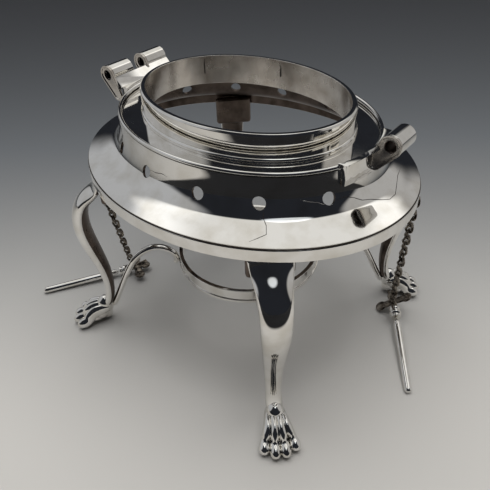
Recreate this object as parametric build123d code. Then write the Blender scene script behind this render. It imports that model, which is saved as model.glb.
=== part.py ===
from build123d import *
import os
from math import cos, radians, sin, sqrt

# Oval warming stand: four claw-foot legs, a vented apron, a kettle collar, a lamp ring and two chained pins.
# Millimetres, +Z up, the floor at z = 0, +X towards the single hinge tube.

# Oval plan. Each pair is the half length along X and the half width along Y.
RIM = (79.9, 65.0)
BAND_WALL = 1.6
BAND_BOTTOM_Z = 90.7
BAND_TOP_Z = 96.3
SEAT_GAP = 0.02
APRON_WALL = 1.2
APRON_TOP_Z = 116.0
NECK = (61.7, 48.2)
LIP_WIRE_R = 0.95

# The apron's outer line: (half length, half width, height), from the edge up to the neck.
APRON_LINE = (
    (79.4, 64.5, 97.3),
    (75.6, 60.9, 97.8),
    (71.2, 56.8, 98.9),
    (67.4, 53.3, 100.9),
    (64.8, 51.0, 103.6),
    (63.2, 49.6, 107.0),
    (62.2, 48.7, 111.0),
    (61.7, 48.2, APRON_TOP_Z),
)

# Vent holes, at hand-marked steps round the oval.
VENT_R = 2.6
VENT_Z = 106.1
VENT_STEPS = (26, 52, 78, 103, 127, 154, 206, 236, 259, 284, 307, 334)

# Collar that the kettle sits in.
GUTTER_Z = 114.8
GUTTER_PLATE = 1.0
GUTTER_GAP = 0.05
SLEEVE_OUT = (49.4, 37.2)
COLLAR_WALL = 1.5
STEP_OUT = (51.0, 38.8)
STEP_TOP_Z = 117.7
COLLAR_OUT = (50.2, 38.0)
COLLAR_TOP_Z = 127.3
COLLAR_BEVEL = 0.7

# Legs: stations from the top down as (reach, height, thickness, width).
LEG_AT = {"front": -43.6, "right": 45.0, "rear": 135.0, "left": 225.0}
LEG_LINE = (
    (67.6, 95.9, 3.6, 19.4),
    (67.7, 90.0, 3.8, 19.0),
    (69.0, 85.8, 4.6, 17.6),
    (72.8, 82.4, 5.6, 16.0),
    (77.0, 79.2, 6.8, 14.4),
    (79.8, 74.4, 7.6, 13.7),
    (81.2, 67.6, 8.0, 13.3),
    (81.0, 60.2, 8.1, 12.6),
    (79.5, 52.6, 7.7, 11.5),
    (77.6, 45.2, 6.9, 10.3),
    (76.0, 38.2, 6.3, 9.2),
    (75.0, 31.0, 5.8, 8.2),
    (74.9, 24.6, 5.2, 7.5),
    (75.4, 19.0, 4.9, 7.3),
    (76.4, 14.4, 5.0, 7.8),
    (78.0, 10.6, 5.6, 9.0),
)
TOE_COUNT = 4
# A toe's own line as (reach, height, radius, share of the spread).
TOE_LINE = (
    (76.0, 14.0, 1.7, 0.50),
    (79.6, 11.6, 2.4, 0.74),
    (84.0, 8.4, 2.6, 0.90),
    (88.6, 5.2, 2.1, 0.98),
    (93.2, 3.0, 2.6, 1.05),
    (97.2, 1.6, 1.6, 1.08),
)
TOE_SPREAD = 6.9
# How much shorter the outer toes are than the middle of the paw, as a share of their reach past the ankle.
TOE_SHORT = 0.14
# Heel pads as (reach, height, radius, sideways offset).
HEEL_PADS = ((79.8, 4.4, 4.6, 0.0), (81.6, 3.6, 3.8, 3.4), (81.6, 3.6, 3.8, -3.4), (86.4, 2.8, 3.0, 0.0))

# Lamp ring and the four scroll arms that carry it.
RING_R = 36.1
RING_WALL = 2.0
RING_BOTTOM_Z = 36.2
RING_HEIGHT = 6.9
RING_FOOT = 0.5
RING_FOOT_HEIGHT = 1.6
ARM_THICK = 3.3
ARM_WIDTH = 3.8
ARM_LINE = (
    (75.0, 9.2),
    (72.6, 14.0),
    (69.8, 19.8),
    (66.6, 26.8),
    (63.4, 33.2),
    (60.0, 38.8),
    (56.4, 42.9),
    (52.4, 45.4),
    (48.2, 46.5),
    (44.4, 45.9),
    (41.2, 44.1),
    (38.8, 41.6),
    (37.7, 38.9),
    (37.8, 36.4),
    (39.2, 35.2),
)

# Hinge brackets for the pins.
HINGE_X = 69.6
HINGE_Z = 122.9
KNUCKLE_R = 4.35
PIN_BORE_R = 2.1
LEAF_WALL = 1.8
LEAF_WIDTH = 35.0
LEAF_SKIRT = (63.6, 58.0)
LEAF_BOTTOM_Z = 110.2
LEAF_TOP_Z = 118.8
LEAF_SLOPE_FROM = (62.3, 117.2)
LEAF_SLOPE_TO = (67.2, 121.9)
KEY_R = 4.45
KEY_WALL = 1.2
KEY_TAIL_R = 2.9
KEY_TAIL_AT = (64.3, 114.7)
LEFT_KNUCKLES = ((-17.5, -4.2), (3.7, 17.5))
RIGHT_KNUCKLES = ((-3.3, 9.5),)

# Chains. A link is a wire bent round two centres, and the next link's wire runs through each centre.
LINK_WIRE_R = 0.55
LINK_BEND_R = 1.4
LINK_STRAIGHT = 2.9
LINKS_UPPER = {"right": 9, "left": 10}
LINKS_LOWER = {"right": 10, "left": 10}
CHAIN_TOP = {"right": (74.1, 23.1, 89.3), "left": (-58.6, -43.15, 89.3)}
CHAIN_RUN = {"right": (-7.5, 16.4, -79.6), "left": (-14.7, 20.8, -81.9)}

# Pins: each has a shaft, a beaded knop, and a trefoil thumb plate with an eye for the chain.
PIN_TIP_R = 1.85
PIN_ROOT_R = 2.0
PIN_SHAFT = 44.8
KNOP_R = 3.2
KNOP_COLLAR_R = 2.5
NECK_R = 1.5
EYE_AT = 8.4
EYE_LIFT = 2.3
PLATE_THICK = 1.6
LOBE_R = 3.1
LOBE_OUT = 7.4
LOBE_AT = 11.2
END_LOBE_AT = 15.8
PIN_AXIS = {"right": (-25.3, 36.7, 4.6), "left": (23.4, 37.0, 1.4)}
PLATE_ACROSS = {"right": (0.725, 0.411, 0.552), "left": (0.873, -0.487, 0.0)}


def unit(v):
    return v / v.length


def oval(half, z):
    """Elliptical face at height z."""
    return Pos(0, 0, z) * Ellipse(half[0], half[1])


def grown(half, by):
    return (half[0] + by, half[1] + by)


def oval_wall(outer, wall, z0, z1):
    """Upright elliptical ring."""
    block = extrude(oval(outer, z0), z1 - z0)
    return block - extrude(oval(grown(outer, -wall), z0), z1 - z0)


def rim_band():
    band = oval_wall(RIM, BAND_WALL, BAND_BOTTOM_Z, BAND_TOP_Z)
    edges = band.edges().group_by(Axis.Z)
    outer = [e for e in edges[0] + edges[-1] if e.bounding_box().max.X > RIM[0] - BAND_WALL / 2]
    return fillet(outer, 0.4)


def apron():
    """Domed skirt with a wide flange and its ring of vent holes."""
    edge = (APRON_LINE[0][0], APRON_LINE[0][1])
    outer = [oval((a, b), z) for a, b, z in APRON_LINE]
    body = loft(outer) + extrude(oval(edge, BAND_TOP_Z), APRON_LINE[0][2] - BAND_TOP_Z)
    inner = []
    last = len(APRON_LINE) - 1
    for i, (a, b, z) in enumerate(APRON_LINE):
        below = APRON_LINE[max(i - 1, 0)]
        above = APRON_LINE[min(i + 1, last)]
        run = below[1] - above[1]
        rise = above[2] - below[2]
        size = sqrt(run * run + rise * rise)
        back = APRON_WALL * rise / size
        down = APRON_WALL * run / size
        inner.append((a - back, b - back, z - down))
    inner[0] = (edge[0] - 1.6, edge[1] - 1.6, BAND_TOP_Z)
    top = inner[-1]
    inner[-1] = (top[0], top[1], APRON_TOP_Z)
    body -= loft([oval((a, b), z) for a, b, z in inner])
    for step in VENT_STEPS:
        x = (NECK[0] + 1.6) * cos(radians(step))
        y = (NECK[1] + 1.6) * sin(radians(step))
        out = unit(Vector(cos(radians(step)) / NECK[0], sin(radians(step)) / NECK[1], 0.004))
        start = Vector(x, y, VENT_Z) - out * 5
        body -= extrude(Plane(start, z_dir=out) * Circle(VENT_R), 10)
    return body


def lip_wire():
    """Wire that rolls over the top of the neck."""
    middle = grown(NECK, -APRON_WALL / 2)
    path = Pos(0, 0, APRON_TOP_Z + LIP_WIRE_R) * Edge.make_ellipse(middle[0], middle[1])
    start = Plane(path @ 0, z_dir=path % 0)
    return sweep(start * Circle(LIP_WIRE_R), path)


def gutter_plate():
    """Flat shelf between the neck and the collar."""
    outer = grown(NECK, -APRON_WALL - GUTTER_GAP)
    inner = grown(SLEEVE_OUT, GUTTER_GAP)
    shelf = extrude(oval(outer, GUTTER_Z), GUTTER_PLATE)
    return shelf - extrude(oval(inner, GUTTER_Z), GUTTER_PLATE)


def collar_step():
    """Low foot moulding round the collar, standing on the shelf."""
    z0 = GUTTER_Z + GUTTER_PLATE
    wall = STEP_OUT[0] - SLEEVE_OUT[0] - GUTTER_GAP
    return oval_wall(STEP_OUT, wall, z0, STEP_TOP_Z)


def collar():
    """Upright collar with a sleeve that passes down through the shelf."""
    sleeve = oval_wall(SLEEVE_OUT, COLLAR_WALL, GUTTER_Z - 1.2, STEP_TOP_Z)
    upper = extrude(oval(COLLAR_OUT, STEP_TOP_Z), COLLAR_TOP_Z - STEP_TOP_Z)
    upper -= extrude(oval(grown(SLEEVE_OUT, -COLLAR_WALL), STEP_TOP_Z), COLLAR_TOP_Z - STEP_TOP_Z)
    body = sleeve + upper
    top = body.edges().group_by(Axis.Z)[-1]
    body = chamfer([e for e in top if e.bounding_box().max.X > COLLAR_OUT[0] - 0.5], COLLAR_BEVEL)
    return body


def in_leg_plane(at, reach, z, across=0.0):
    """Point in a leg's upright plane, given by its reach from the centre, height and sideways offset."""
    a = radians(at)
    return Vector(reach * cos(a) - across * sin(a), reach * sin(a) + across * cos(a), z)


def leg(at):
    """Cabriole leg with a lion's paw."""
    across = Vector(-sin(radians(at)), cos(radians(at)), 0)
    sections = []
    last = len(LEG_LINE) - 1
    for i, (reach, z, thick, wide) in enumerate(LEG_LINE):
        a = LEG_LINE[max(i - 1, 0)]
        b = LEG_LINE[min(i + 1, last)]
        along = in_leg_plane(at, b[0], b[1]) - in_leg_plane(at, a[0], a[1])
        if i == 0:
            along = Vector(0, 0, -1)
        place = Plane(in_leg_plane(at, reach, z), x_dir=across, z_dir=along)
        sections.append(place * RectangleRounded(wide, thick, thick * 0.42))
    body = loft(sections)
    for toe in range(TOE_COUNT):
        share = 2 * toe / (TOE_COUNT - 1) - 1
        body += toe_solid(at, share)
    for reach, z, r, offset in HEEL_PADS:
        body += Pos(in_leg_plane(at, reach, z, offset)) * Sphere(r)
    ground = Pos(0, 0, -25) * Box(400, 400, 50)
    seat = oval_wall(grown(RIM, 6), 6 + BAND_WALL + SEAT_GAP, BAND_BOTTOM_Z - SEAT_GAP, BAND_TOP_Z)
    return body - ground - seat


def toe_solid(at, share):
    """One toe: a row of balls joined by cones, so the knuckle and the pad swell."""
    short = 1 - TOE_SHORT * share * share
    ankle = TOE_LINE[0][0]
    balls = []
    for reach, z, r, spread in TOE_LINE:
        offset = TOE_SPREAD * share * spread
        balls.append((in_leg_plane(at, ankle + (reach - ankle) * short, z, offset), r))
    body = Pos(balls[0][0]) * Sphere(balls[0][1])
    for (p, r), (q, s) in zip(balls, balls[1:]):
        body += Pos(q) * Sphere(s)
        body += Solid.make_cone(r * 0.985, s * 0.985, (q - p).length, Plane(p, z_dir=q - p))
    return body


def disc(r, z, height):
    """Upright cylinder that stands on height z."""
    return extrude(Pos(0, 0, z) * Circle(r), height)


def lamp_ring():
    """Round ring that holds the lamp, with a small bead at its foot."""
    body = disc(RING_R, RING_BOTTOM_Z, RING_HEIGHT)
    body += disc(RING_R + RING_FOOT, RING_BOTTOM_Z, RING_FOOT_HEIGHT)
    return body - disc(RING_R - RING_WALL, RING_BOTTOM_Z, RING_HEIGHT)


def arm(at, leg_solid, ring_solid):
    """Scroll arm from a leg's ankle up and over to the lamp ring."""
    points = [in_leg_plane(at, reach, z) for reach, z in ARM_LINE]
    path = Spline(points)
    across = Vector(-sin(radians(at)), cos(radians(at)), 0)
    place = Plane(path @ 0, x_dir=across, z_dir=path % 0)
    bar = sweep(place * RectangleRounded(ARM_WIDTH, ARM_THICK, 0.9), path)
    bar = bar - leg_solid - ring_solid
    return max(bar.solids(), key=lambda s: s.volume)


def leaf(side, y0, y1, slope_y0, slope_y1, cuts):
    """Plate that hugs the outside of the neck, with a slope up and out to the knuckles."""
    skirt = extrude(oval(LEAF_SKIRT, LEAF_BOTTOM_Z), LEAF_TOP_Z - LEAF_BOTTOM_Z)
    skirt -= extrude(oval(grown(NECK, -0.3), LEAF_BOTTOM_Z), LEAF_TOP_Z - LEAF_BOTTOM_Z)
    skirt = skirt & Pos(side * NECK[0], (y0 + y1) / 2, LEAF_TOP_Z) * Box(20, y1 - y0, 40)
    (ax, az), (bx, bz) = LEAF_SLOPE_FROM, LEAF_SLOPE_TO
    size = sqrt((bx - ax) ** 2 + (bz - az) ** 2)
    ox, oz = -LEAF_WALL * (bz - az) / size, LEAF_WALL * (bx - ax) / size
    line = [(ax, az), (bx, bz), (bx + ox, bz + oz), (ax + ox, az + oz)]
    outline = [Vector(side * x, slope_y0, z) for x, z in line]
    plate = skirt + extrude(Face(Wire.make_polygon(outline, close=True)), slope_y1 - slope_y0, dir=(0, 1, 0))
    room = Cylinder(KNUCKLE_R + SEAT_GAP, LEAF_WIDTH + 2)
    plate -= Pos(side * HINGE_X, 0, HINGE_Z) * Rot(90, 0, 0) * room
    for other in cuts:
        plate -= other
    return max(plate.solids(), key=lambda s: s.volume)


def knuckle(side, y0, y1):
    """Tube that the pin slides through."""
    middle = (y0 + KEY_WALL + y1) / 2
    place = Pos(side * HINGE_X, middle, HINGE_Z) * Rot(90, 0, 0)
    long = y1 - y0 - KEY_WALL
    return place * (Cylinder(KNUCKLE_R, long) - Cylinder(PIN_BORE_R, long))


def key_plate(side, y0, cuts):
    """Keyhole-shaped end plate: a round eye with a tail that runs down the outside of the neck."""
    eye_at = Vector(side * HINGE_X, y0, HINGE_Z)
    end_at = Vector(side * KEY_TAIL_AT[0], y0, KEY_TAIL_AT[1])
    along = unit(end_at - eye_at)
    wide = Vector(-along.Z, 0, along.X)
    top = wide * KEY_R * 0.985
    low = wide * KEY_TAIL_R * 0.985
    outline = [eye_at + top, end_at + low, end_at - low, eye_at - top]
    body = extrude(Face(Wire.make_polygon(outline, close=True)), KEY_WALL, dir=(0, 1, 0))
    for at, r in ((eye_at, KEY_R), (end_at, KEY_TAIL_R)):
        body += Pos(at + Vector(0, KEY_WALL / 2, 0)) * Rot(90, 0, 0) * Cylinder(r, KEY_WALL)
    body -= Pos(eye_at + Vector(0, KEY_WALL / 2, 0)) * Rot(90, 0, 0) * Cylinder(PIN_BORE_R, KEY_WALL)
    for other in cuts:
        body -= other
    return max(body.solids(), key=lambda s: s.volume)


def eye(centre, normal, ring_r):
    return Plane(centre, z_dir=normal) * Torus(ring_r, LINK_WIRE_R)


def link(top, down, normal):
    """One chain link from its upper bend centre along its own run."""
    low = top + down * LINK_STRAIGHT
    out = down.cross(normal)
    a = top + out * LINK_BEND_R
    b = low + out * LINK_BEND_R
    c = low - out * LINK_BEND_R
    d = top - out * LINK_BEND_R
    path = Wire([
        Edge.make_line(a, b),
        Edge.make_three_point_arc(b, low + down * LINK_BEND_R, c),
        Edge.make_line(c, d),
        Edge.make_three_point_arc(d, top - down * LINK_BEND_R, a),
    ])
    return sweep(Plane(a, z_dir=down) * Circle(LINK_WIRE_R), path)


def chain_frame(side):
    """Directions of a hanging chain: down its run, the swing axis, and the last link's normal."""
    down = unit(Vector(*CHAIN_RUN[side]))
    axis = unit(Vector(*PIN_AXIS[side]))
    turned = unit(axis - down * axis.dot(down))
    swing = unit(turned.cross(down))
    return down, swing, turned


def link_normal(side, i):
    """Each link is a quarter turn from its neighbours, counted back from the last one."""
    down, swing, turned = chain_frame(side)
    last = LINKS_UPPER[side] + LINKS_LOWER[side] - 1
    return turned if (last - i) % 2 == 0 else swing


def chain_links(side, first, count):
    down = chain_frame(side)[0]
    start = Vector(*CHAIN_TOP[side]) + down * LINK_BEND_R
    step = LINK_STRAIGHT + LINK_BEND_R
    links = [link(start + down * (step * i), down, link_normal(side, i)) for i in range(first, first + count)]
    return Compound(children=links)


def staple(side, band_solid):
    """Small eye soldered under the rim band."""
    down = chain_frame(side)[0]
    ring = eye(Vector(*CHAIN_TOP[side]), down.cross(link_normal(side, 0)), LINK_BEND_R)
    return max((ring - band_solid).solids(), key=lambda s: s.volume)


def pin_frame(side):
    """Plane of a pin: X runs from the tip to the head, Z stands up from the thumb plate."""
    down = chain_frame(side)[0]
    run = (LINK_STRAIGHT + LINK_BEND_R) * (LINKS_UPPER[side] + LINKS_LOWER[side])
    end = Vector(*CHAIN_TOP[side]) + down * run
    x = unit(Vector(*PIN_AXIS[side]))
    across = Vector(*PLATE_ACROSS[side])
    across = unit(across - x * across.dot(x))
    up = unit(x.cross(across))
    if up.Z < 0:
        up = up * -1
    eye_centre = end - up * LINK_BEND_R
    root = eye_centre - up * EYE_LIFT - x * EYE_AT
    return Plane(root, x_dir=x, z_dir=up)


def along_x(x0, r0, x1, r1):
    return Solid.make_cone(r0, r1, x1 - x0, Plane((x0, 0, 0), z_dir=(1, 0, 0)))


def pin_shaft(side):
    """Plain pin, a little slimmer at its rounded tip."""
    body = along_x(-PIN_SHAFT + PIN_TIP_R, PIN_TIP_R, 0, PIN_ROOT_R)
    body += Pos(-PIN_SHAFT + PIN_TIP_R, 0, 0) * Sphere(PIN_TIP_R)
    return pin_frame(side) * body


def pin_knop():
    """Beaded knop turned on the head end of the pin."""
    body = Pos(1.1, 0, 0) * Rot(0, 90, 0) * Cylinder(KNOP_COLLAR_R, 2.2)
    for x in (2.6, 5.0):
        body += Pos(x, 0, 0) * Sphere(KNOP_R - (x - 2.6) * 0.15)
    cut = Pos(-10, 0, 0) * Box(20, 20, 20)
    return body - cut


def pin_plate(knop):
    """Trefoil thumb plate, its stem and the chain's eye."""
    body = along_x(5.0, NECK_R, LOBE_AT, NECK_R * 0.9)
    stem = Pos((EYE_AT + END_LOBE_AT) / 2 + 1, 0, 0)
    body += stem * Box(END_LOBE_AT - EYE_AT, 3.4, PLATE_THICK)
    body += Pos(END_LOBE_AT, 0, 0) * Cylinder(LOBE_R, PLATE_THICK)
    for s in (-1, 1):
        body += Pos(LOBE_AT, s * LOBE_OUT, 0) * Cylinder(LOBE_R, PLATE_THICK)
        body += Pos(LOBE_AT + 0.4, s * LOBE_OUT / 2, 0) * Box(3.6, LOBE_OUT, PLATE_THICK)
    body += Pos(EYE_AT, 0, EYE_LIFT) * Rot(90, 0, 0) * Torus(LINK_BEND_R, LINK_WIRE_R)
    return body - knop


def write(name, shape):
    solids = shape.solids()
    print(name, len(solids), round(sum(s.volume for s in solids), 1))
    export_step(shape, f"parts/{name}.step")


def main():
    os.makedirs("parts", exist_ok=True)
    band = rim_band()
    write("rim_band", band)
    skirt = apron()
    write("apron", skirt)
    wire = lip_wire()
    write("lip_wire", wire)
    write("gutter_plate", gutter_plate() - skirt)
    write("collar_step", collar_step())
    write("seat_collar", collar())
    ring = lamp_ring()
    write("lamp_ring", ring)
    for name, at in LEG_AT.items():
        one = leg(at)
        write("leg_" + name, one)
        write("arm_" + name, arm(at, one, ring))
    half = LEAF_WIDTH / 2
    fixed = [skirt, wire]
    left = leaf(-1, -half + KEY_WALL, half, -half + KEY_WALL, half, fixed)
    right = leaf(1, -half, half, *RIGHT_KNUCKLES[0], fixed)
    for name, side, spans, plate in (("left", -1, LEFT_KNUCKLES, left), ("right", 1, RIGHT_KNUCKLES, right)):
        write("leaf_" + name, plate)
        for i, (y0, y1) in enumerate(spans):
            end = ("_front", "_rear")[i] if len(spans) > 1 else ""
            write("knuckle_" + name + end, knuckle(side, y0, y1))
            write("key_" + name + end, key_plate(side, y0, fixed + [plate]))
    knop = pin_knop()
    for side in ("left", "right"):
        write("staple_" + side, staple(side, band))
        write("chain_upper_" + side, chain_links(side, 0, LINKS_UPPER[side]))
        write("chain_lower_" + side, chain_links(side, LINKS_UPPER[side], LINKS_LOWER[side]))
        place = pin_frame(side)
        write("pin_shaft_" + side, pin_shaft(side))
        write("pin_knop_" + side, place * knop)
        write("thumb_plate_" + side, place * pin_plate(knop))


main()
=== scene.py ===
# %% [markdown]
# # An oval warming stand in polished silver
# The stand carries a kettle over a small lamp. Four claw-foot legs hold an oval apron with a row of
# vent holes, a collar takes the kettle, and two pins on short chains lock it to the hinge tubes.
# The solid model fixes every size. Here each part gets its modelled detail and its metal, and the
# lesson shows which of Blender's tools suits each of them.

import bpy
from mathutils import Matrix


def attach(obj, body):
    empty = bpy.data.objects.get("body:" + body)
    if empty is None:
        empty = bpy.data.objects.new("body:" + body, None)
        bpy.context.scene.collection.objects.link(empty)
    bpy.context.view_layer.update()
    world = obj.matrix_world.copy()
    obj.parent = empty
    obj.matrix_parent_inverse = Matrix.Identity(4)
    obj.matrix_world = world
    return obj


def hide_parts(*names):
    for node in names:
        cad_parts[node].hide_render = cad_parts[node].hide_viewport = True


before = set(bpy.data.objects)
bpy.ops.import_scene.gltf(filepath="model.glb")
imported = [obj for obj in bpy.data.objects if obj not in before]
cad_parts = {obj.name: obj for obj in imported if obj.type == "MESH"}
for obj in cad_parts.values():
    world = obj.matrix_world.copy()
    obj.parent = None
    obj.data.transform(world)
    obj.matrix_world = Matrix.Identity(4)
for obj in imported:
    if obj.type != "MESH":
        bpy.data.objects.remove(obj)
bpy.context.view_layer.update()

# %% Tools of the lesson
from math import cos, pi, radians, sin, sqrt

import bmesh
import bpy
from bmesh.types import BMEdge, BMFace, BMVert
from mathutils import Matrix, Vector

MM = 0.001

# %% [markdown]
# ## The camera
# A camera in Blender looks down its own -Z with +Y up. The view is set as a place and two directions,
# because a matrix built from them is exact, while three angles are easy to get wrong.

# %% Camera
EYE = Vector((0.1384, -0.1686, 0.2173))
FORWARD = Vector((-0.500, 0.599, -0.6255)).normalized()
UP = Vector((-0.3763, 0.5002, 0.7799))
LENS_MM = 39.35
SENSOR_MM = 36.0

camera_data = bpy.data.cameras.new("camera")
camera_data.lens = LENS_MM
camera_data.sensor_width = SENSOR_MM
camera_data.clip_start = 0.01
camera_data.clip_end = 20.0
camera = bpy.data.objects.new("camera", camera_data)
right = FORWARD.cross(UP).normalized()
turn = Matrix((right, right.cross(FORWARD), -FORWARD)).transposed().to_4x4()
camera.matrix_world = Matrix.Translation(EYE) @ turn
bpy.context.scene.collection.objects.link(camera)
bpy.context.scene.camera = camera
print("camera at", [round(v, 3) for v in EYE])

# %% [markdown]
# ## Colour and nodes
# Colours are written as the hex values an artist picks from a screen. Shaders work in linear light,
# so one function turns the first into the second. One more adds a node, sets it and wires it, which
# keeps each material short enough to read in one go.

# %% Colour and node helpers
def linear(hex_value):
    """sRGB hex, such as "F2EEE6", to the linear colour that a shader takes."""
    parts = [int(hex_value[i:i + 2], 16) / 255 for i in (0, 2, 4)]
    return tuple(p / 12.92 if p <= 0.04045 else ((p + 0.055) / 1.055) ** 2.4 for p in parts) + (1.0,)


def add(tree, kind, links=None, inputs=None, **settings):
    """Adds one node. links maps an input to the output that feeds it, inputs maps an input to a value."""
    made = tree.nodes.new("ShaderNode" + kind)
    for name, value in settings.items():
        setattr(made, name, value)
    for name, value in (inputs or {}).items():
        made.inputs[name].default_value = value
    for name, source in (links or {}).items():
        tree.links.new(source, made.inputs[name])
    return made


def new_material(name):
    """Empty node material: the material, its tree and its Principled shader."""
    made = bpy.data.materials.new(name)
    made.use_nodes = True
    tree = made.node_tree
    return made, tree, tree.nodes["Principled BSDF"]


# %% [markdown]
# ## Polished silver
# Silver plate that was raised, spun and buffed by hand. It is a mirror with a warm tint, and years of
# cloths leave a faint uneven haze and hairlines. A real hairline is far under a pixel, so the noise
# for them is stretched into streaks 1 mm apart, as coarse as it needs to show at all.

# %% Pattern helpers
def coordinates(tree, scale=(1.0, 1.0, 1.0)):
    """Object coordinates in metres, through a Mapping node that can stretch them."""
    place = add(tree, "TexCoord")
    return add(tree, "Mapping", {"Vector": place.outputs["Object"]}, {"Scale": scale}).outputs["Vector"]


def noise(tree, vector, size_mm, detail=2.0):
    """Noise whose blotches are about size_mm across."""
    made = add(tree, "TexNoise", {"Vector": vector}, {"Scale": 1 / (size_mm * MM), "Detail": detail})
    return made.outputs["Fac"]


def remap(tree, value, low, high, to_low, to_high):
    """Part of a 0 to 1 pattern, stretched between two new values and clamped."""
    limits = {"From Min": low, "From Max": high, "To Min": to_low, "To Max": to_high}
    made = add(tree, "MapRange", {"Value": value}, limits)
    return made.outputs["Result"]


print("noise scale for blotches of 16 mm:", 1 / (16 * MM))

# %% Polished silver
TINT_MM = 9.0
HAZE_MM = 14.0
HAIR_MM = 1.0
HAIR_STRETCH = (1.0, 0.12, 0.5)
HAIR_DEPTH_MM = 0.05


def silver_metal(name, base, haze_low, haze_high, wave_mm, wave_height):
    """Silver: two base colours, roughness from haze_low to haze_high, and a hand-hammered waviness."""
    made, tree, shader = new_material(name)
    vector = coordinates(tree)
    shader.inputs["Metallic"].default_value = 1.0
    tint = add(tree, "MixRGB", {"Fac": remap(tree, noise(tree, vector, TINT_MM, 4.0), 0.42, 0.72, 0.0, 1.0)},
               {"Color1": linear(base[0]), "Color2": linear(base[1])})
    tree.links.new(tint.outputs["Color"], shader.inputs["Base Color"])
    haze = remap(tree, noise(tree, vector, HAZE_MM, 5.0), 0.35, 0.7, haze_low, haze_high)
    tree.links.new(haze, shader.inputs["Roughness"])
    hairs = noise(tree, coordinates(tree, HAIR_STRETCH), HAIR_MM, 3.0)
    waves = noise(tree, vector, wave_mm, 1.0)
    fine = add(tree, "Bump", {"Height": hairs}, {"Strength": 0.02, "Distance": HAIR_DEPTH_MM * MM})
    bump = add(tree, "Bump", {"Height": waves, "Normal": fine.outputs["Normal"]},
               {"Strength": 1.0, "Distance": wave_height * MM})
    tree.links.new(bump.outputs["Normal"], shader.inputs["Normal"])
    return made


silver = silver_metal("buffed_silver_plate", ("F2F0EC", "E0DCD4"), 0.02, 0.08, 16.0, 0.03)
print("silver", silver.name, len(silver.node_tree.nodes), "nodes")

# %% [markdown]
# ## Silver that nobody polishes, and painted shade
# Inner walls are scraped and pickled but never buffed, and the keyhole plates are left from the file.
# They keep a soft grain, which spreads every reflection. A second, dark brown silver is painted shade:
# it goes on the inner sides, bores and corners that the light does not reach.

# %% Scraped silver and painted shade silver
scraped = silver_metal("scraped_silver", ("E2DCD4", "BDB4A9"), 0.20, 0.32, 7.0, 0.05)
# Dark brown silver that paints shade on inner sides, bores and the pads behind the legs.
smoked = silver_metal("smoked_silver", ("6B6059", "3E3631"), 0.26, 0.42, 7.0, 0.05)
print("inner walls", scraped.name, smoked.name)

# %% [markdown]
# ## Oxidised silver
# Chains and cast trefoils are too fine to polish out, so sulphur from the air turns their hollows
# brown-black while the high spots are rubbed bright. Links are so small that a noise with blotches of
# 3 mm, cut hard into a dark and a light part, gives the eye the same mottled metal.

# %% Oxidised silver
oxidised, tree, shader = new_material("oxidised_silver")
vector = coordinates(tree)
shader.inputs["Metallic"].default_value = 1.0
shade = add(tree, "ValToRGB", {"Fac": noise(tree, vector, 3.0, 4.0)})
shade.color_ramp.elements[0].position = 0.35
shade.color_ramp.elements[0].color = linear("3A332D")
shade.color_ramp.elements[1].position = 0.72
shade.color_ramp.elements[1].color = linear("A39A8E")
tree.links.new(shade.outputs["Color"], shader.inputs["Base Color"])
tree.links.new(remap(tree, noise(tree, vector, 2.0, 3.0), 0.3, 0.7, 0.22, 0.42), shader.inputs["Roughness"])
print("oxidised", oxidised.name, len(oxidised.node_tree.nodes), "nodes")

# %% [markdown]
# ## Metal for the solids that stay
# Solids first get their metal. Only the small dark castings differ, so a list of names decides.

# %% Metal on the carried-over parts
DARK = ("chain_", "staple_", "thumb_plate_")
for name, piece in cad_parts.items():
    piece.data.materials.clear()
    piece.data.materials.append(oxidised if name.startswith(DARK) else silver)
print(len(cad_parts), "solids dressed")

# %% [markdown]
# ## Rings on an oval plan
# Band, apron, collar and ring are all one outline carried round an oval. Blender's spin only turns
# round a circle, so the outline is carried the other way: one circle is made, squashed to the oval
# of the first station, and its edge is extruded from station to station. The loops stay even, which
# is what a mirror finish needs.

# %% Oval lathe
def edges_of(verts):
    """Edges of some vertices, each of them once."""
    return list(dict.fromkeys(e for v in verts for e in v.link_edges))


def only(kind, geom):
    """Picks one kind of element, such as BMVert, out of what an operator hands back."""
    return [g for g in geom if isinstance(g, kind)]


def oval_place(a, b, z):
    """Matrix that takes a unit circle to an oval of half sizes a and b, z above the floor, in mm."""
    return Matrix.Translation((0, 0, z * MM)) @ Matrix.Diagonal((a * MM, b * MM, 1.0, 1.0))


def oval_lathe(mesh, stations, steps=128, closed=False):
    """Extrudes a circle through stations of (a, b, z). A closed one joins its last loop to its first."""
    made = bmesh.ops.create_circle(mesh, segments=steps, radius=1.0, matrix=oval_place(*stations[0]))
    first = loop = edges_of(made["verts"])
    for before, after in zip(stations, stations[1:]):
        grown = bmesh.ops.extrude_edge_only(mesh, edges=loop)["geom"]
        loop = only(BMEdge, grown)
        move = oval_place(*after) @ oval_place(*before).inverted()
        bmesh.ops.transform(mesh, matrix=move, verts=only(BMVert, grown))
    if closed:
        bmesh.ops.bridge_loops(mesh, edges=first + loop)


print("an oval has 128 steps")

# %% [markdown]
# ### A smooth line
# A few measured points make a kinked outline, and a mirror shows every kink. A Catmull-Rom curve runs
# smoothly through every point, with no handles to set.

# %% Smooth line
def smooth_line(points, parts):
    """Points of a Catmull-Rom curve through the given ones, with parts steps between each pair."""
    ends = [tuple(2 * p - q for p, q in zip(points[0], points[1]))]
    tail = [tuple(2 * p - q for p, q in zip(points[-1], points[-2]))]
    run = ends + list(points) + tail
    line = []
    for p0, p1, p2, p3 in zip(run, run[1:], run[2:], run[3:]):
        for i in range(parts):
            t = i / parts
            line.append(tuple(
                0.5 * (2 * b + (c - a) * t + (2 * a - 5 * b + 4 * c - d) * t * t
                       + (3 * b - a - 3 * c + d) * t ** 3)
                for a, b, c, d in zip(p0, p1, p2, p3)))
    return line + [tuple(points[-1])]


print("three points, smoothed", smooth_line([(0, 0), (1, 1), (2, 0)], 2))
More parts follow.
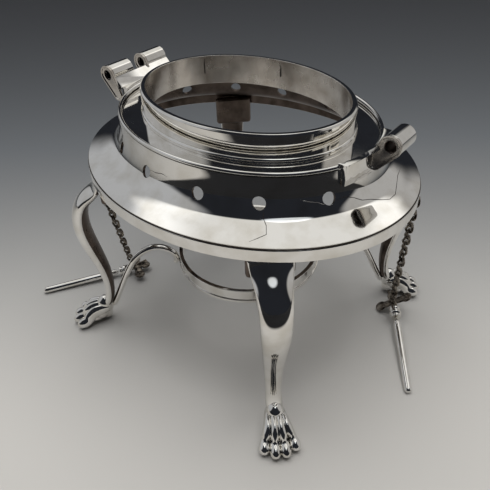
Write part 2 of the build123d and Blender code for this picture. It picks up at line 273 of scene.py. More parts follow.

# %% [markdown]
# ### Finishing a piece
# Every piece ends the same way: its doubles are merged, its normals are turned outwards, it gets its
# metal, and a Bevel or a Subdivision Surface modifier softens it. Modifiers are used for that and not
# operators, because they can still be changed later. Last, the piece is put on the body it rides on,
# and the solids it stands in for are hidden.

# %% Finishing a piece
LOOKS_IN = -0.35
EDGE_STEPS = 3


def finish_piece(name, mesh, body, replaced, material, bevel=0.0, levels=0, sharp=35, join=True, inside=None):
    """Turns a bmesh into a piece of a body.

    bevel is a width in mm, for edges sharper than sharp degrees, and levels counts subdivisions.
    join merges doubles. inside is the metal of the faces that look inwards.
    """
    if join:
        bmesh.ops.remove_doubles(mesh, verts=mesh.verts, dist=1e-7)
    bmesh.ops.recalc_face_normals(mesh, faces=mesh.faces)
    data = bpy.data.meshes.new(name)
    mesh.to_mesh(data)
    mesh.free()
    data.shade_smooth()
    data.materials.append(material)
    if inside:
        data.materials.append(inside)
        for face in data.polygons:
            outward = Vector((*face.center.xy, 0)).normalized()
            face.material_index = int(face.normal.dot(outward) < LOOKS_IN)
    piece = bpy.data.objects.new(name, data)
    bpy.context.scene.collection.objects.link(piece)
    if bevel:
        edge = piece.modifiers.new("edge", "BEVEL")
        edge.width = bevel * MM
        edge.segments = EDGE_STEPS
        edge.limit_method = "ANGLE"
        edge.angle_limit = radians(sharp)
        edge.harden_normals = True
    if levels:
        soft = piece.modifiers.new("round", "SUBSURF")
        soft.levels = soft.render_levels = levels
    if replaced:
        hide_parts(*replaced)
    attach(piece, body)
    print(name, len(data.polygons), "faces")
    return piece


# %% [markdown]
# ## Rim band
# A strip of silver bent to the oval and soldered under the apron. A closed outline makes it solid,
# and the bevel rolls its edges, because a hand-finished edge always catches a thin line of light.

# %% Rim band
RIM = (79.9, 65.0)
BAND = (90.7, 96.3)
BAND_WALL = 1.6
mesh = bmesh.new()
outline = [(0, BAND[0]), (0, BAND[1]), (BAND_WALL, BAND[1]), (BAND_WALL, BAND[0])]
oval_lathe(mesh, [(RIM[0] - back, RIM[1] - back, z) for back, z in outline], closed=True)
# The inner side of the band takes the dark silver, painted shade for the inside of the rim.
finish_piece("rim_band_soldered", mesh, "stand", ["rim_band"], silver, bevel=0.35, inside=smoked)

# %% [markdown]
# ## Apron
# One sheet, raised from a flat flange up to a neck. It is modelled as a single skin through the
# stations of the solid, the vent holes are opened in the skin, and Solidify gives it its wall, so
# every hole gets its own clean inner edge.

# %% Apron skin
APRON_LINE = (
    (79.4, 64.5, 97.1), (75.6, 60.9, 98.3), (71.2, 56.8, 99.6), (67.4, 53.3, 101.2),
    (64.8, 51.0, 103.6), (63.2, 49.6, 107.0), (62.2, 48.7, 111.0), (61.7, 48.2, 116.0),
)
APRON_FOOT = (79.4, 64.5, 96.35)
APRON_WALL = 1.2
NECK = APRON_LINE[-1][:2]
NECK_TOP = APRON_LINE[-1][2]
curve = smooth_line(APRON_LINE, 4)
apron = bmesh.new()
oval_lathe(apron, [APRON_FOOT] + curve, steps=192)
print("apron skin", len(apron.faces), "faces")


def apron_size(z):
    """Half sizes of the apron's outer oval at a height, in mm."""
    for low, high in zip(curve, curve[1:]):
        if low[2] <= z <= high[2]:
            t = (z - low[2]) / (high[2] - low[2])
            return tuple(p + (q - p) * t for p, q in zip(low[:2], high[:2]))
    return curve[-1][:2]


# %% [markdown]
# ### Vent holes
# Faces inside a hole's circle are deleted, the ragged gap is filled up to a true circle with a
# bridge, and the circle lies on the skin. That keeps four-sided faces all round, so the metal
# beside a hole reflects as cleanly as the rest.

# %% Vent holes
VENT_R = 2.6
VENT_Z = 106.1
# Where the holes sit round the oval, and how far from a middle faces go and the ragged edge can be.
VENT_STEPS = (26, 52, 78, 103, 127, 154, 206, 236, 259, 284, 307, 334)
CLEARED = VENT_R + 1.1
RAGGED_EDGE = VENT_R + 4.0


def on_apron(step, z):
    """Point of the skin at an oval step in degrees and a height in mm."""
    a, b = apron_size(z)
    return Vector((a * cos(radians(step)), b * sin(radians(step)), z)) * MM


for step in VENT_STEPS:
    middle = on_apron(step, VENT_Z)
    across = (on_apron(step + 1, VENT_Z) - middle).normalized()
    rise = (on_apron(step, VENT_Z + 1) - middle).normalized()
    near = [f for f in apron.faces if (f.calc_center_median() - middle).length < CLEARED * MM]
    bmesh.ops.delete(apron, geom=near, context="FACES")
    edge = [e for e in apron.edges
            if e.is_boundary and all((v.co - middle).length < RAGGED_EDGE * MM for v in e.verts)]
    turn = Matrix((across, rise, across.cross(rise))).transposed().to_4x4()
    place = Matrix.Translation(middle) @ turn
    hole = bmesh.ops.create_circle(apron, segments=len(edge), radius=VENT_R * MM, matrix=place)
    for v in hole["verts"]:
        a, b = apron_size(v.co.z / MM)
        v.co.xy *= 1 / sqrt((v.co.x / a) ** 2 + (v.co.y / b) ** 2) * MM
    bmesh.ops.bridge_loops(apron, edges=edge + edges_of(hole["verts"]))
print(len(VENT_STEPS), "vents")

# %% [markdown]
# ### The apron's wall
# Solidify grows the wall inwards, and gives its inner skin and the cut rims the dark silver, painted
# shade for the inside of the apron and its holes. A narrow bevel breaks the rims' edges before the last
# subdivision.

# %% Apron wall
HOLE_EDGE = 0.12

apron_piece = finish_piece("apron_raised", apron, "stand", ["apron"], silver)
wall = apron_piece.modifiers.new("wall", "SOLIDIFY")
wall.thickness = APRON_WALL * MM
wall.offset = -1.0
wall.material_offset = 1
wall.material_offset_rim = 1
# The inner skin and the hole rims get the dark silver of the painted shade.
apron_piece.data.materials.append(smoked)
edge = apron_piece.modifiers.new("edge", "BEVEL")
edge.width = HOLE_EDGE * MM
edge.segments = 2
edge.limit_method = "ANGLE"
edge.angle_limit = radians(50)
soft = apron_piece.modifiers.new("round", "SUBSURF")
soft.levels = soft.render_levels = 1
print("apron wall", APRON_WALL, "mm")

# %% [markdown]
# ## Lip wire
# A round wire rolled over the raw top edge of the neck. Its outline is a small circle of eight
# corners, and subdivision makes it truly round. That draws a corner in, so the circle starts larger.

# %% Lip wire
LIP_R = 0.95
SMOOTHING_SHRINK = 1.06
lip_middle = (NECK[0] - APRON_WALL / 2, NECK[1] - APRON_WALL / 2, NECK_TOP + LIP_R)


def bead(mesh, centre, radius, corners=8, steps=128):
    """Round wire along an oval: centre is its (a, b, z)."""
    around = [radians(360 / corners * i) for i in range(corners)]
    a, b, z = centre
    stations = [(a + radius * cos(t), b + radius * cos(t), z + radius * sin(t)) for t in around]
    oval_lathe(mesh, stations, steps, closed=True)


mesh = bmesh.new()
bead(mesh, lip_middle, LIP_R * SMOOTHING_SHRINK)
finish_piece("lip_wire_rolled", mesh, "stand", ["lip_wire"], silver, levels=1)

# %% [markdown]
# ## Shelf, foot moulding and collar
# The shelf closes the neck, and the collar that takes the kettle stands on it over a low moulding.
# Each is a closed outline. The collar's top is filed to an outward bevel, as the outline says.

# %% Shelf
SHELF = ((60.45, 46.95, 114.8), (60.45, 46.95, 115.8), (49.45, 37.25, 115.8), (49.45, 37.25, 114.8))
mesh = bmesh.new()
oval_lathe(mesh, SHELF, closed=True)
finish_piece("shelf_plate", mesh, "stand", ["gutter_plate"], silver, bevel=0.1)

# %% Foot moulding and collar
SLEEVE = (49.4, 37.2)
FOOT_LINE = ((0.05, 115.8), (1.6, 115.8), (1.6, 116.9), (1.25, 117.45), (0.85, 117.7), (0.05, 117.7))
COLLAR_LINE = (
    (-1.5, 113.6), (0.0, 113.6), (0.0, 117.7), (0.8, 117.7), (0.8, 122.0), (0.8, 126.6), (0.1, 127.3),
    (-1.5, 127.3), (-1.5, 120.0),
)

mesh = bmesh.new()
oval_lathe(mesh, [(SLEEVE[0] + out, SLEEVE[1] + out, z) for out, z in FOOT_LINE], closed=True)
finish_piece("collar_foot_moulding", mesh, "stand", ["collar_step"], silver, bevel=0.2, sharp=25)

mesh = bmesh.new()
oval_lathe(mesh, [(SLEEVE[0] + out, SLEEVE[1] + out, z) for out, z in COLLAR_LINE], closed=True)
finish_piece("seat_collar_bevelled", mesh, "stand", ["seat_collar"], silver, bevel=0.18, sharp=25,
             inside=scraped)

# %% [markdown]
# ## Lamp ring
# A hoop for the spirit lamp, with a small bead at its foot. It is a circle, so both half sizes match.

# %% Lamp ring
HOOP = ((36.1, 43.1), (34.1, 43.1), (34.1, 36.2), (36.6, 36.2), (36.6, 37.8), (36.1, 37.8))
mesh = bmesh.new()
oval_lathe(mesh, [(r, r, z) for r, z in HOOP], closed=True)
finish_piece("lamp_hoop", mesh, "stand", ["lamp_ring"], silver, bevel=0.22)

# %% [markdown]
# ## Claw-foot legs
# Each leg was cast: a broad fin under the rim, a full knee, a slim ankle and a lion's paw. A leg is an
# outline that is extruded from station to station, and every station has its own width, thickness
# and tilt. The outline is a little squarer than an ellipse, which keeps a broad calm face in front.

# %% Leg stations
# Reach from the middle of the stand, height, thickness and width.
LEG_LINE = (
    (67.6, 95.9, 3.6, 19.4), (67.7, 90.0, 3.8, 19.0), (69.0, 85.8, 4.6, 17.6), (72.8, 82.4, 5.6, 16.0),
    (77.0, 79.2, 6.8, 14.4), (79.8, 74.4, 7.6, 13.7), (81.2, 67.6, 8.0, 13.3), (81.0, 60.2, 8.1, 12.6),
    (79.5, 52.6, 7.7, 11.5), (77.6, 45.2, 6.9, 10.3), (76.0, 38.2, 6.3, 9.2), (75.0, 31.0, 5.8, 8.2),
    (74.9, 24.6, 5.2, 7.5), (75.4, 19.0, 4.9, 7.3), (76.6, 14.4, 5.2, 8.0), (78.8, 11.2, 4.8, 7.4),
    (81.0, 8.8, 3.0, 5.0),
)
# The angle of each leg round the stand, in degrees.
LEG_AT = {"front": -43.6, "right": 45.0, "rear": 135.0, "left": 225.0}


def section_place(line, i):
    """Matrix of a section: X across the leg, Y out through its thickness, both scaled to half sizes."""
    reach, z, thick, wide = line[i]
    before, after = line[max(i - 1, 0)], line[min(i + 1, len(line) - 1)]
    along = Vector((after[0] - before[0], 0, after[1] - before[1])).normalized()
    across = Vector((0, 1, 0))
    out = across.cross(along)
    turn = Matrix((across * wide / 2, out * thick / 2, along)).transposed().to_4x4()
    return Matrix.Translation(Vector((reach, 0, z)) * MM) @ turn @ Matrix.Diagonal((MM, MM, MM, 1))


print(len(LEG_LINE), "stations on", len(LEG_AT), "legs")

# %% [markdown]
# ### Extruding from station to station
# One face is pulled out again and again, and each time the new face is moved, turned and scaled to its
# station. The same few lines make legs, toes, arms, pins and cracks.

# %% Extruding a face
def pull_out(mesh, faces):
    """Extrudes a patch of a closed skin. The old patch goes, or it would stay inside as a hidden wall."""
    closed = not any(e.is_boundary for f in faces for e in f.edges)
    grown = bmesh.ops.extrude_face_region(mesh, geom=faces)["geom"]
    if closed:
        bmesh.ops.delete(mesh, geom=faces, context="FACES")
    return only(BMFace, grown), only(BMVert, grown)


def extrude_through(mesh, faces, places):
    """Extrudes faces through a run of matrices."""
    for before, after in zip(places, places[1:]):
        faces, verts = pull_out(mesh, faces)
        bmesh.ops.transform(mesh, matrix=after @ before.inverted(), verts=verts)


def squarish(u, power):
    """Moves a point of the unit circle out towards a rounded square."""
    return Vector([abs(c) ** power * (1 if c > 0 else -1) for c in u])


def swept(mesh, places, corners, power=1.0):
    """Extrudes an outline through matrices, with a cap at both ends. A power below 1 squares it."""
    made = bmesh.ops.create_circle(mesh, segments=corners, radius=1.0, cap_ends=True)["verts"]
    faces = list(made[0].link_faces)
    for v in made:
        v.co.xy = squarish(v.co.xy, power)
    bmesh.ops.transform(mesh, matrix=places[0], verts=made)
    extrude_through(mesh, faces, places)


print("a corner squared by 0.95:", [round(c, 3) for c in squarish((0.707, 0.707), 0.95)])

# %% [markdown]
# ### The paw
# The paw is a casting of its own. A toe leaves the ankle, swells over the knuckle, dips, and swells
# again into the pad on the ground, and the outer toes spread and end a little shorter. Four toes and
# a palm are closed forms that sink into one another, so sharp dark grooves stay in between.

# %% Toes
# Reach, height, half width, half height, and the share of the spread that the toe has there.
TOE_LINE = (
    (76.6, 11.6, 1.6, 1.9, 0.30), (79.4, 11.0, 1.9, 2.7, 0.40), (82.4, 10.0, 2.0, 3.4, 0.46),
    (85.2, 9.2, 2.2, 3.7, 0.52), (87.8, 8.5, 2.3, 3.6, 0.60), (89.4, 7.2, 2.2, 3.2, 0.70),
    (90.6, 5.2, 2.0, 2.8, 0.80), (92.0, 3.8, 2.2, 3.0, 0.88), (94.2, 3.3, 2.7, 3.1, 0.93),
    (96.0, 2.9, 2.5, 2.8, 0.95), (97.2, 2.4, 1.8, 2.0, 0.96), (97.8, 2.1, 0.9, 1.1, 0.96),
)
TOES = 4
TOE_SPREAD = 7.2
# How much shorter an outer toe is, and how much lower it sits above the height where toes are free.
TOE_SHORT = 0.14
TOE_DROP = 0.225
TOE_FREE_Z = 6
ANKLE = TOE_LINE[0][0]


def toe_places(share):
    """Matrices of one toe's stations. share runs from -1 to 1 across the paw."""
    places = []
    outer = share * share
    line = [(ANKLE + (reach - ANKLE) * (1 - TOE_SHORT * outer), z - TOE_DROP * outer * max(0, z - TOE_FREE_Z),
             half_w, half_h, TOE_SPREAD * share * spread)
            for reach, z, half_w, half_h, spread in TOE_LINE]
    for i, (reach, z, half_w, half_h, off) in enumerate(line):
        before, after = line[max(i - 1, 0)], line[min(i + 1, len(line) - 1)]
        along = Vector((after[0] - before[0], after[4] - before[4], after[1] - before[1])).normalized()
        across = (Vector((0, 1, 0)) - along * along.y).normalized()
        turn = Matrix((across * half_w, across.cross(along) * half_h, along)).transposed().to_4x4()
        middle = Matrix.Translation(Vector((reach, off, z)) * MM)
        places.append(middle @ turn @ Matrix.Diagonal((MM, MM, MM, 1)))
    return places


print("toe", TOE_LINE[-1][0] - ANKLE, "mm long")

# %% Paw
# Centre and half sizes of the swollen forms behind the toes: palm, instep, ankle and heel.
PALM = (
    ((83.0, 0, 5.8), (5.8, 5.6, 4.6)), ((86.0, 0, 4.2), (6.4, 6.0, 4.1)),
    ((79.4, 0, 10.6), (4.8, 4.4, 5.4)), ((80.0, 0, 4.6), (3.6, 3.6, 4.5)),
)


def swollen(mesh, centre, size, segments=24, rings=12):
    """Flattened ball: centre and half sizes in mm."""
    place = Matrix.Translation(Vector(centre) * MM) @ Matrix.Diagonal((*[s * MM for s in size], 1))
    bmesh.ops.create_uvsphere(mesh, u_segments=segments, v_segments=rings, radius=1.0, matrix=place)


def paw_mesh():
    """Four toes and the palm, overlapping, in the leg's own plane."""
    mesh = bmesh.new()
    for i in range(TOES):
        swept(mesh, toe_places(2 * i / (TOES - 1) - 1), corners=16)
    for centre, size in PALM:
        swollen(mesh, centre, size, 16, 10)
    return mesh


print(TOES, "toes and", len(PALM), "swollen forms")

# %% [markdown]
# ### Seating the legs
# The top of a leg is soldered inside the band, so it has to follow the band's oval. Subdivision moves
# the skin a little, so it is applied first, and what still stands out past the band's inner wall is
# drawn in. A thick pad behind each leg fills the corner under the rim, all in the dark silver that
# paints the shade of that corner, and the inner side of each leg takes the same painted shade.

# %% Seating a leg
SEAT_GAP = 0.05
SEAT_FROM = BAND[0] - 0.6
# Reach, width and height of the pad, each from and to.
LEG_PAD = ((64.2, 67.6), (-9.7, 9.7), (80.2, 95.4))


def seat_in_band(piece):
    """Draws the top of a leg in behind the band, where the real one is soldered to it."""
    a, b = (half - BAND_WALL - SEAT_GAP for half in RIM)
    for v in piece.data.vertices:
        x, y, z = v.co / MM
        over = sqrt((x / a) ** 2 + (y / b) ** 2)
        if z > SEAT_FROM and over > 1:
            v.co.x /= over
            v.co.y /= over


def baked(piece):
    """Applies a piece's modifiers and leaves the plain mesh."""
    graph = bpy.context.evaluated_depsgraph_get()
    data = bpy.data.meshes.new_from_object(piece.evaluated_get(graph))
    piece.modifiers.clear()
    piece.data = data
    return piece


def leg_mesh():
    """One leg down to the ankle, in its own plane: +X outward, +Z up."""
    mesh = bmesh.new()
    swept(mesh, [section_place(LEG_LINE, i) for i in range(len(LEG_LINE))], corners=16, power=0.95)
    return mesh


def pad_mesh():
    """The pad behind a leg, in the leg's own plane."""
    mesh = bmesh.new()
    middle = [(low + high) / 2 * MM for low, high in LEG_PAD]
    size = [(high - low) * MM for low, high in LEG_PAD]
    bmesh.ops.create_cube(mesh, size=1.0, matrix=Matrix.Translation(middle) @ Matrix.Diagonal((*size, 1)))
    return mesh


print("pad", [round(high - low, 1) for low, high in LEG_PAD], "mm")

# %% Legs
for name, at in LEG_AT.items():
    leg, pad, paw = leg_mesh(), pad_mesh(), paw_mesh()
    for mesh in (leg, pad, paw):
        bmesh.ops.transform(mesh, matrix=Matrix.Rotation(radians(at), 4, "Z"), verts=mesh.verts)
    node = ["leg_" + name]
    # The inner side of each leg and the whole pad behind it take the dark silver, painted shade under the
    # rim.
    cast = finish_piece("leg_cast_" + name, leg, "stand", node, silver, levels=3, inside=smoked)
    seat_in_band(baked(cast))
    finish_piece("leg_pad_" + name, pad, "stand", node, smoked, bevel=1.6)
    finish_piece("paw_cast_" + name, paw, "stand", node, silver, levels=2, join=False)

# %% [markdown]
# ## Scroll arms
# From each ankle a flat bar rises, bends over and curls down on to the lamp ring. It is forged to a
# taper. A rounded outline is extruded along a smooth line, and each station is turned to follow it. It
# starts a little too thick, as subdivision draws it in.

# %% Scroll arms
ARM_LINE = (
    (75.0, 9.2), (72.6, 14.0), (69.8, 19.8), (66.6, 26.8), (63.4, 33.2), (60.0, 38.8), (56.4, 42.9),
    (52.4, 45.4), (48.2, 46.5), (44.4, 45.9), (41.2, 44.1), (38.8, 41.6), (37.8, 38.9), (37.9, 36.6),
    (39.2, 35.4),
)
ARM_WIDE = 3.8
ARM_THICK = 3.24
ARM_SWELL = 1.08
ARM_TAPER = [0.98, 0.95, 0.9, 0.82, 0.66]


def arm_mesh():
    """One arm in its own plane: +X outward, +Z up."""
    line = smooth_line(ARM_LINE, 2)
    shares = [1.0] * (len(line) - len(ARM_TAPER)) + ARM_TAPER
    line = [(reach, z, ARM_THICK * ARM_SWELL * share, ARM_WIDE * ARM_SWELL * share)
            for (reach, z), share in zip(line, shares)]
    mesh = bmesh.new()
    swept(mesh, [section_place(line, i) for i in range(len(line))], corners=8)
    return mesh


for name, at in LEG_AT.items():
    mesh = arm_mesh()
    bmesh.ops.rotate(mesh, verts=mesh.verts, matrix=Matrix.Rotation(radians(at), 3, "Z"))
    finish_piece("arm_forged_" + name, mesh, "stand", ["arm_" + name], silver, levels=2)

# %% [markdown]
# ## Hinge brackets
# Two tubes on the left and one on the right take the pins. Each tube ends in a keyhole plate with a
# raised rim, and a leaf of sheet silver ties them to the neck. The plates are built in an easy order:
# rings of points are stacked as a plain cylinder, then every ring is sent to its own outline.

# %% Stacked rings
def stacked_rings(mesh, places, steps=48):
    """Closed ring-shaped solid. Each place maps a unit vector of the circle to a point in mm."""
    made = bmesh.ops.create_circle(mesh, segments=steps, radius=1.0)["verts"]
    first = loop = edges_of(made)
    for _ in places[1:]:
        grown = bmesh.ops.extrude_edge_only(mesh, edges=loop)["geom"]
        loop = only(BMEdge, grown)
        bmesh.ops.translate(mesh, vec=(0, 0, 1), verts=only(BMVert, grown))
    bmesh.ops.bridge_loops(mesh, edges=first + loop)
    for v in mesh.verts:
        v.co = Vector(places[round(v.co.z)](v.co.xy)) * MM


print("rings are ready to stack")

# %% Tubes and keyhole plates
HINGE_X = 69.6
HINGE_Z = 122.9
TUBE_R = 4.35
BORE_R = 2.1
KEY_WALL = 1.2
KEY_R = 4.45
TAIL_R = 2.9
TAIL_AT = (64.3, 114.7)
# A plate's raised rim: its width at the top and at the foot, and its height over the sunk face.
KEY_RIM = (0.75, 0.95)
SUNK = 0.45
# Width and depth of a bore's broken edge, and how far round a bore the painted shade reaches.
BORE_EDGE = (0.35, 0.15)
BORE_SKIN = 0.4
# Side of the stand, then where the outer end of each tube's plate and its far end lie along Y.
SPANS = {"left_front": (-1, -17.5, -4.2), "left_rear": (-1, 3.7, 17.5), "right": (1, -3.3, 9.5)}


def keyhole(side, shrink, y):
    """Outline of a keyhole plate, drawn in by shrink, at its own y."""
    down = Vector((TAIL_AT[0] - HINGE_X, TAIL_AT[1] - HINGE_Z))
    turn_over = (KEY_R - TAIL_R) / down.length

    def place(u):
        at_tail = u.dot(down.normalized()) > turn_over
        centre, r = (TAIL_AT, TAIL_R) if at_tail else ((HINGE_X, HINGE_Z), KEY_R)
        return (side * (centre[0] + u.x * (r - shrink)), y, centre[1] + u.y * (r - shrink))
    return place


def tube(side, r, y):
    """Circle round the hinge line."""
    return lambda u: (side * (HINGE_X + u.x * r), y, HINGE_Z + u.y * r)


def bored(piece):
    """Gives the wall of a bore round the hinge line the dark silver, painted shade for the inside of the
    bore.
    """
    piece.data.materials.append(smoked)
    for face in piece.data.polygons:
        off = Vector((abs(face.center.x) / MM - HINGE_X, face.center.z / MM - HINGE_Z))
        face.material_index = int(off.length < BORE_R + BORE_SKIN)


for name, (side, start, back) in SPANS.items():
    front, floor_y = start + KEY_WALL, start + SUNK
    mesh = bmesh.new()
    stacked_rings(mesh, [tube(side, r, y) for r, y in
                         ((TUBE_R, front), (TUBE_R, back), (BORE_R, back), (BORE_R, front))])
    bored(finish_piece("tube_" + name, mesh, "stand", ["knuckle_" + name], silver, bevel=0.3))
    mesh = bmesh.new()
    stacked_rings(mesh, [
        keyhole(side, 0.0, front), keyhole(side, 0.0, start),
        keyhole(side, KEY_RIM[0], start), keyhole(side, KEY_RIM[1], floor_y),
        tube(side, BORE_R + BORE_EDGE[0], floor_y), tube(side, BORE_R, floor_y + BORE_EDGE[1]),
        tube(side, BORE_R, front)])
    bored(finish_piece("keyhole_" + name, mesh, "stand", ["key_" + name], scraped, bevel=0.14, sharp=25))

# %% [markdown]
# ### Leaves
# The leaf between tubes and neck has its full shape in the solid. A copy of its mesh is merged, flat
# areas are dissolved to large faces, and a bevel softens its edges.

# %% Leaves
for name in ("leaf_left", "leaf_right"):
    mesh = bmesh.new()
    mesh.from_mesh(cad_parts[name].data)
    bmesh.ops.remove_doubles(mesh, verts=mesh.verts, dist=1e-6)
    bmesh.ops.dissolve_limit(mesh, angle_limit=radians(1.0), verts=mesh.verts, edges=mesh.edges)
    finish_piece(name + "_sheet", mesh, "stand", [name], silver, bevel=0.25, join=False)

# %% [markdown]
# ## Chains
# Short cable chains hang from staples under the band, and every second link is turned a quarter. A
# link is a wire circle that is spun half a turn, pulled straight, spun again and pulled back, so it
# closes on itself. Each link is then given a twist, to the left and to the right in turn, so that
# neighbours still meet square. Where the chain folds, the two links that meet are left untwisted at that
# end, so that they turn freely. The wire is as thick as it can be while the links clear one another.

# %% One link
LINK_BEND = 1.4
LINK_STRAIGHT = 2.9
WIRE_R = 0.68
TWIST = 32


def link_mesh(wire=WIRE_R, straight=LINK_STRAIGHT, twist=(0, 0)):
    """Link round the Y axis, with its upper bend centre at the origin and its run down -Z.

    twist is the turn of its upper and its lower end, in degrees.
    """
    mesh = bmesh.new()
    side = Matrix.Translation(Vector((LINK_BEND, 0, 0)) * MM)
    made = bmesh.ops.create_circle(mesh, segments=8, radius=wire * MM, matrix=side)["verts"]
    geom = list(made) + edges_of(made)
    low = Vector((0, 0, -straight)) * MM
    for centre, pull in ((Vector(), low), (low, -low)):
        geom = bmesh.ops.spin(mesh, geom=geom, cent=centre, axis=(0, -1, 0), angle=pi, steps=8,
                              use_merge=False)["geom_last"]
        if straight:
            geom = bmesh.ops.extrude_edge_only(mesh, edges=only(BMEdge, geom))["geom"]
            geom = only((BMVert, BMEdge), geom)
            bmesh.ops.translate(mesh, vec=pull, verts=only(BMVert, geom))
    bmesh.ops.remove_doubles(mesh, verts=mesh.verts, dist=1e-6)
    long_edges = [e for e in mesh.edges if e.calc_length() > 0.8 * straight * MM]
    bmesh.ops.subdivide_edges(mesh, edges=long_edges, cuts=4)
    for v in mesh.verts:
        low_share = max(0, min(1, -v.co.z / MM / max(straight, 0.1)))
        turn = twist[0] + (twist[1] - twist[0]) * low_share
        v.co = Matrix.Rotation(radians(turn), 3, "Z") @ v.co
    bmesh.ops.recalc_face_normals(mesh, faces=mesh.faces)
    data = bpy.data.meshes.new("link")
    mesh.to_mesh(data)
    mesh.free()
    return data


print("link", len(link_mesh().polygons), "faces")

# %% Where the chains hang
# Top of each chain in mm, the way it runs, the axis of its pin, and the number of links above and below
# the fold. The last row turns the thumb plate about the pin.
CHAIN_TOP = {"right": (74.1, 23.1, 89.3), "left": (-58.6, -43.15, 89.3)}
CHAIN_RUN = {"right": (-7.5, 16.4, -79.6), "left": (-14.7, 20.8, -81.9)}
PIN_AXIS = {"right": (-25.3, 36.7, 4.6), "left": (23.4, 37.0, 1.4)}
LINKS = {"right": (9, 10), "left": (10, 10)}
PLATE_ACROSS = {"right": (0.725, 0.411, 0.552), "left": (0.873, -0.487, 0.0)}


def frame_at(place, x, y, z):
    """Matrix with the given axes at a place in mm."""
    return Matrix.Translation(Vector(place) * MM) @ Matrix((x, y, z)).transposed().to_4x4()


def add_link(mesh, place, **how):
    """Adds one link to a mesh, at a place. how is passed on to link_mesh."""
    before = len(mesh.verts)
    mesh.from_mesh(link_mesh(**how))
    mesh.verts.ensure_lookup_table()
    bmesh.ops.transform(mesh, matrix=place, verts=mesh.verts[before:])


def chain_axes(side):
    """Down the chain, the swing axis, and the normal of the last link."""
    down = Vector(CHAIN_RUN[side]).normalized()
    axis = Vector(PIN_AXIS[side]).normalized()
    turned = (axis - down * axis.dot(down)).normalized()
    return down, turned.cross(down).normalized(), turned


print("right chain runs down", [round(c, 3) for c in chain_axes("right")[0]])

# %% Chains
for side, (upper, lower) in LINKS.items():
    down, swing, turned = chain_axes(side)
    start = Vector(CHAIN_TOP[side]) + down * LINK_BEND
    pitch = LINK_STRAIGHT + LINK_BEND
    for run, first, count in (("upper", 0, upper), ("lower", upper, lower)):
        mesh = bmesh.new()
        for i in range(first, first + count):
            normal = turned if (upper + lower - 1 - i) % 2 == 0 else swing
            turn = TWIST * (-1) ** i
            twist = (0 if i == upper else turn, 0 if i == upper - 1 else -turn)
            place = frame_at(start + down * pitch * i, normal.cross(-down), normal, -down)
            add_link(mesh, place, twist=twist)
        body = f"chain_{run}_{side}"
        finish_piece(body + "_links", mesh, body, [body], oxidised, levels=1, join=False)

# %% [markdown]
# ## Hinge pins
# A pin is a turned rod with a beaded knop. Its outline is a short list of radii along the axis, and a
# circle is extruded through them. The tip is rounded so that it finds the tube.

# %% Pin and knop
SHAFT_LINE = (
    (-44.6, 0.5), (-44.45, 1.0), (-44.0, 1.5), (-43.3, 1.8), (-42.6, 1.86), (-40.0, 1.87), (-30.0, 1.89),
    (-20.0, 1.92), (-10.0, 1.96), (0.0, 2.0),
)
KNOP_LINE = (
    (0.0, 1.9), (0.0, 2.5), (0.5, 2.72), (1.1, 2.72), (1.5, 2.35), (1.75, 2.3), (2.3, 3.0), (3.0, 3.22),
    (3.8, 2.95), (4.25, 2.4), (4.6, 2.4), (5.2, 2.85), (5.9, 2.95), (6.6, 2.65), (7.2, 1.9), (7.45, 1.5),
)


def turned_rod(line, steps=24):
    """Solid of revolution along X through stations of (x, radius), capped at both ends."""
    mesh = bmesh.new()
    along = Matrix.Rotation(radians(90), 4, "Y")
    places = [Matrix.Translation((x * MM, 0, 0)) @ along @ Matrix.Diagonal((r * MM, r * MM, 1, 1))
              for x, r in line]
    swept(mesh, places, corners=steps)
    return mesh


# Place of the chain's eye: along the pin from the root of its knop, and over its axis.
EYE_AT = 8.4
EYE_LIFT = 2.3


def pin_place(side):
    """Frame of a pin: X runs from its tip to its head, Z stands up from the thumb plate."""
    down = chain_axes(side)[0]
    end = Vector(CHAIN_TOP[side]) + down * (LINK_STRAIGHT + LINK_BEND) * sum(LINKS[side])
    x = Vector(PIN_AXIS[side]).normalized()
    across = Vector(PLATE_ACROSS[side])
    across = (across - x * across.dot(x)).normalized()
    up = x.cross(across).normalized()
    if up.z < 0:
        up = -up
    root = end - up * (LINK_BEND + EYE_LIFT) - x * EYE_AT
    return frame_at(root, x, up.cross(x), up)


PIN_PARTS = (("pin_turned_", SHAFT_LINE, "pin_shaft_"), ("knop_beaded_", KNOP_LINE, "pin_knop_"))
for side in ("left", "right"):
    for name, line, node in PIN_PARTS:
        mesh = turned_rod(line)
        bmesh.ops.transform(mesh, matrix=pin_place(side), verts=mesh.verts)
        finish_piece(name + side, mesh, "pin_" + side, [node + side], silver, levels=2)

# %% [markdown]
# ## Thumb plates
# The head of a pin is a cast trefoil with an eye for the chain. Its parts are laid out as simple
# swollen discs and bars, and a voxel remesh fuses them into one casting, with the soft corners that
# sand casting leaves. A few smoothing passes take the steps of the voxels away.

# %% Fusing a casting
VOXEL_MM = 0.22
SMOOTHING_PASSES = 4


def fused(piece):
    """Fuses a piece's overlapping parts into one closed skin and smooths the steps of the voxels away."""
    melt = piece.modifiers.new("melt", "REMESH")
    melt.mode = "VOXEL"
    melt.voxel_size = VOXEL_MM * MM
    ease = piece.modifiers.new("ease", "SMOOTH")
    ease.factor = 0.5
    ease.iterations = SMOOTHING_PASSES
    baked(piece).data.shade_smooth()


print("voxels of", VOXEL_MM, "mm")

# %% Thumb plates
# Middles of the three lobes in the plane of the plate, from the root of the knop. Each lobe is a disc
# with a boss on it and a bar that joins it to the middle, and the neck joins the plate to the knop.
LOBES = ((11.2, 7.4), (11.2, -7.4), (15.8, 0.0))
DISC = (3.05, 3.05, 1.0)
BOSS = (1.5, 1.5, 1.0)
BOSS_LIFT = 0.35
NECK_AT, NECK_SIZE = (9.6, 0.0, 0.1), (4.4, 1.9, 0.95)
EYE_WIRE_R = 0.6


def bar_to(x, y):
    """Centre and half sizes of the bar from the middle of a plate to the lobe at (x, y)."""
    return ((x + 11.0) / 2, y / 2, 0.0), (2.2 + abs(x - LOBES[0][0]) / 3, 1.6 + abs(y) / 2.6, 0.85)


